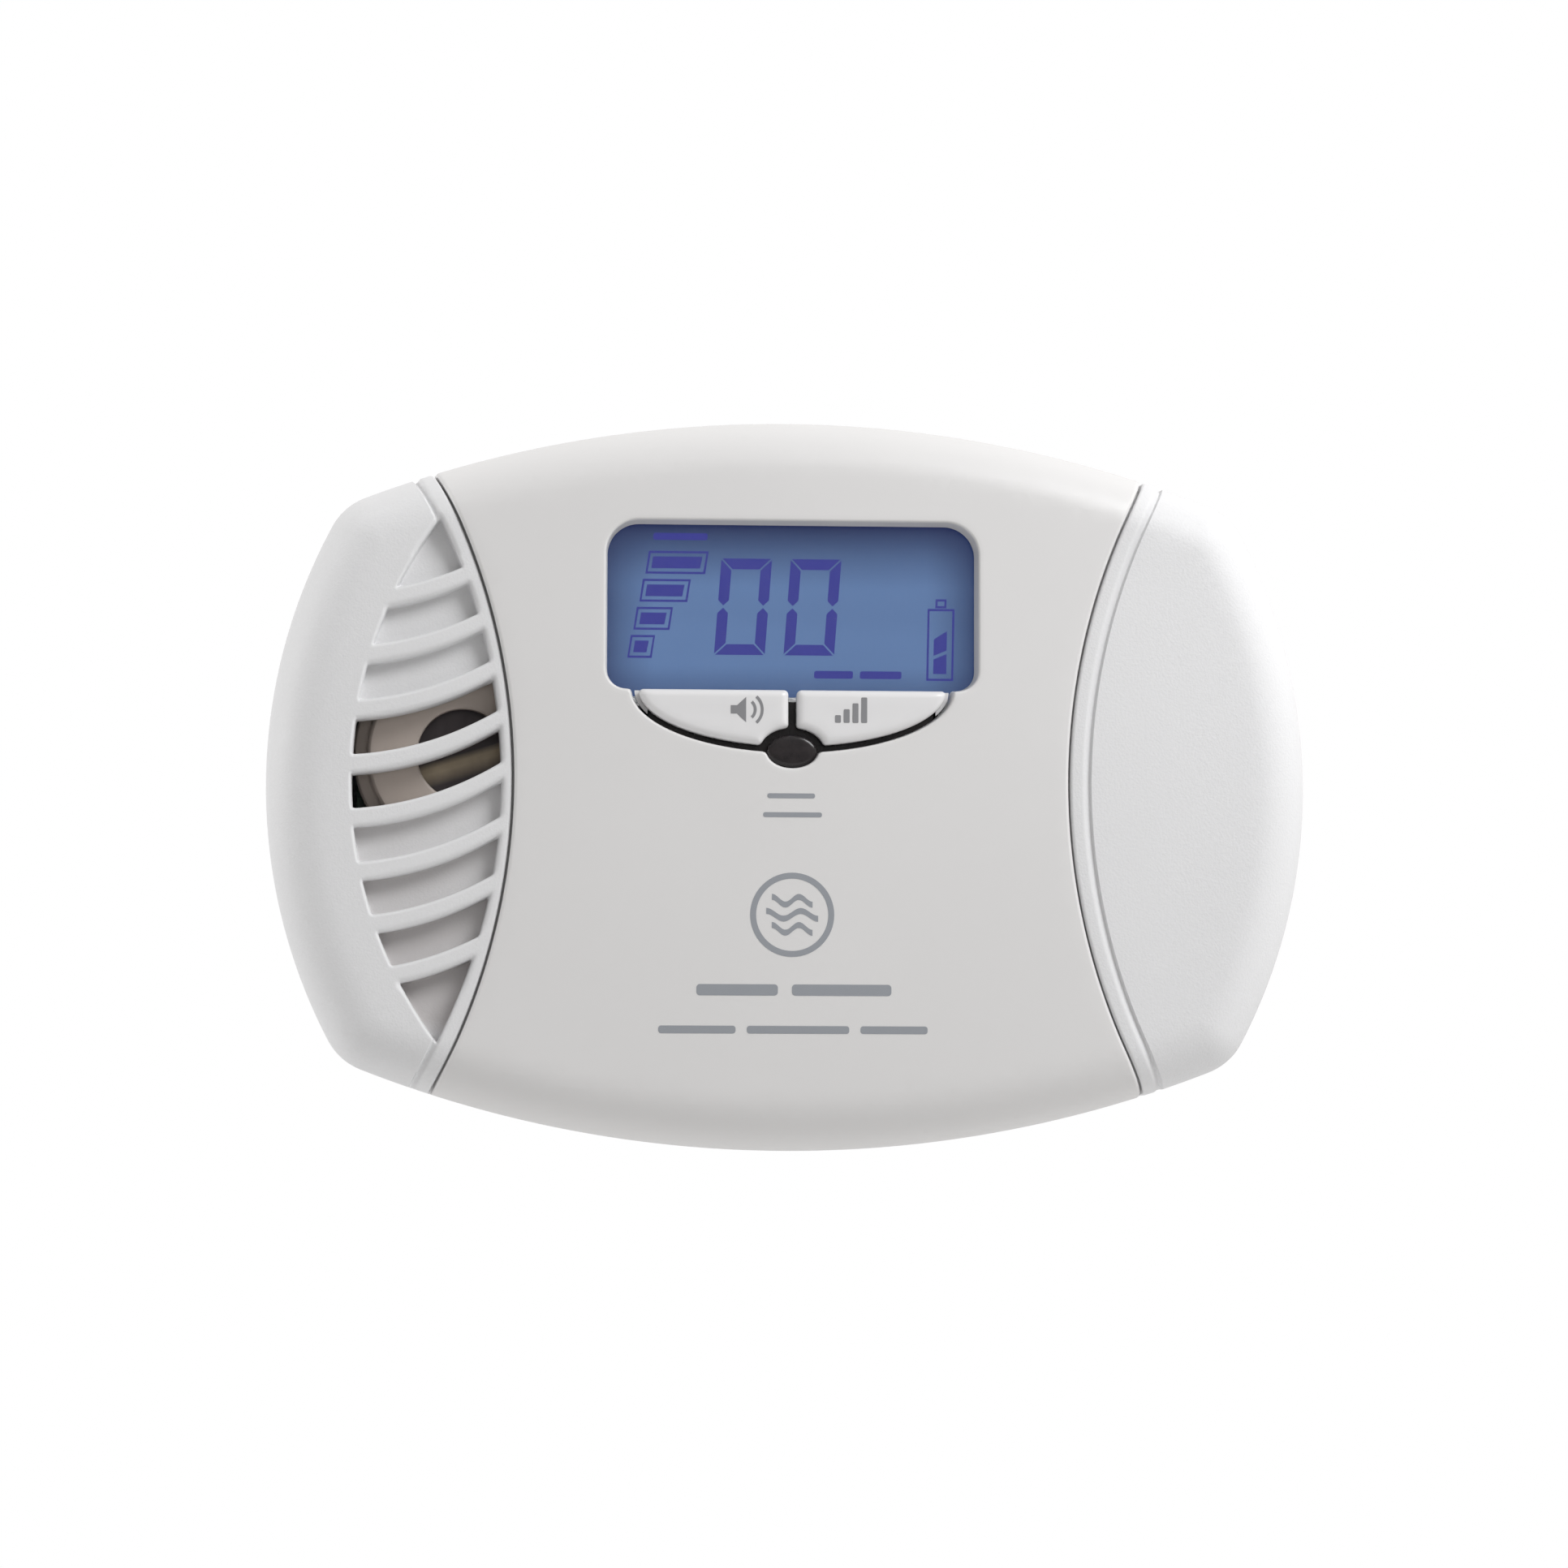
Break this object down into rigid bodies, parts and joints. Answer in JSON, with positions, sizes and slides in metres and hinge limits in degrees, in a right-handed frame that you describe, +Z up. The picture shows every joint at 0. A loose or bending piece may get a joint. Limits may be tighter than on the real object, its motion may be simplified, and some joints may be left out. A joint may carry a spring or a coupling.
{
  "type": "carbon monoxide detector",
  "caption": "Wall-hung carbon monoxide alarm with a backlit level display, two push buttons, a slatted sounder grille, a rear battery door and a hook-on bracket.",
  "frame": {"origin": "middle of the bracket's line of wall screws, on the wall plane", "axes": "+Y into the wall along the wall screws, the front faces -Y, +Z up, +X to the right seen from the front"},
  "size_m": [0.15, 0.0381, 0.105],
  "materials": {
    "white_shell": "fine spark texture",
    "panel_white": "smooth satin",
    "button_white": "smooth semi-gloss",
    "clear_lens": "clear moulded window",
    "dark_lens": "smoked glossy",
    "display_blue": "blue backlit display glass",
    "frame_plastic": "moulded",
    "rubber_black": "matt",
    "board_green": "solder mask",
    "part_black": "moulded packages",
    "horn_grey": "warm grey moulding",
    "brass": "polished disc",
    "steel": "plated steel",
    "can_metal": "can",
    "cell_jacket": "printed jacket, plain",
    "ribbon_blue": "woven ribbon",
    "label_paper": "blank label",
    "wire_red": "wire insulation"
  },
  "bodies": {
    "bracket": {"wall_bracket": "white_shell"},
    "housing": {"front_cover": "white_shell", "centre_panel": "panel_white", "back_cover": "white_shell", "door_hinge_pin": "steel", "display_lens": "clear_lens", "lcd_frame": "frame_plastic", "lcd_glass": "display_blue", "backlight_panel": "frame_plastic", "lcd_connector": "rubber_black", "indicator_lens": "dark_lens", "status_leds": "clear_lens", "tact_switches": "part_black", "main_board": "board_green", "co_sensor": "can_metal", "sensor_filter": "frame_plastic", "horn_housing": "horn_grey", "piezo_disc": "brass", "horn_gasket": "rubber_black", "microcontroller": "part_black", "small_chips": "part_black", "capacitors": "part_black", "battery_cells": "cell_jacket", "spring_contacts": "steel", "flat_contacts": "steel", "battery_ribbon": "ribbon_blue", "battery_wires": "wire_red", "horn_wires": "rubber_black", "case_screws": "steel", "board_screws": "steel", "blank_label": "label_paper"},
    "battery_door": {"battery_door": "white_shell"},
    "test_button": {"test_button": "button_white"},
    "peak_button": {"peak_button": "button_white"}
  },
  "joints": [
    {"name": "housing_lift", "type": "slide", "parent": "bracket", "child": "housing", "axis": [0, 0, 1], "range_m": [0, 0.005]},
    {"name": "door_hinge", "type": "hinge", "parent": "housing", "child": "battery_door", "pos_m": [0, -0.0024, -0.046], "axis": [-1, 0, 0], "range_deg": [0, 95]},
    {"name": "test_press", "type": "slide", "parent": "housing", "child": "test_button", "axis": [0, 1, 0], "range_m": [0, 0.0008], "stiffness_N_per_m": 500},
    {"name": "peak_press", "type": "slide", "parent": "housing", "child": "peak_button", "axis": [0, 1, 0], "range_m": [0, 0.0008], "stiffness_N_per_m": 500}
  ]
}
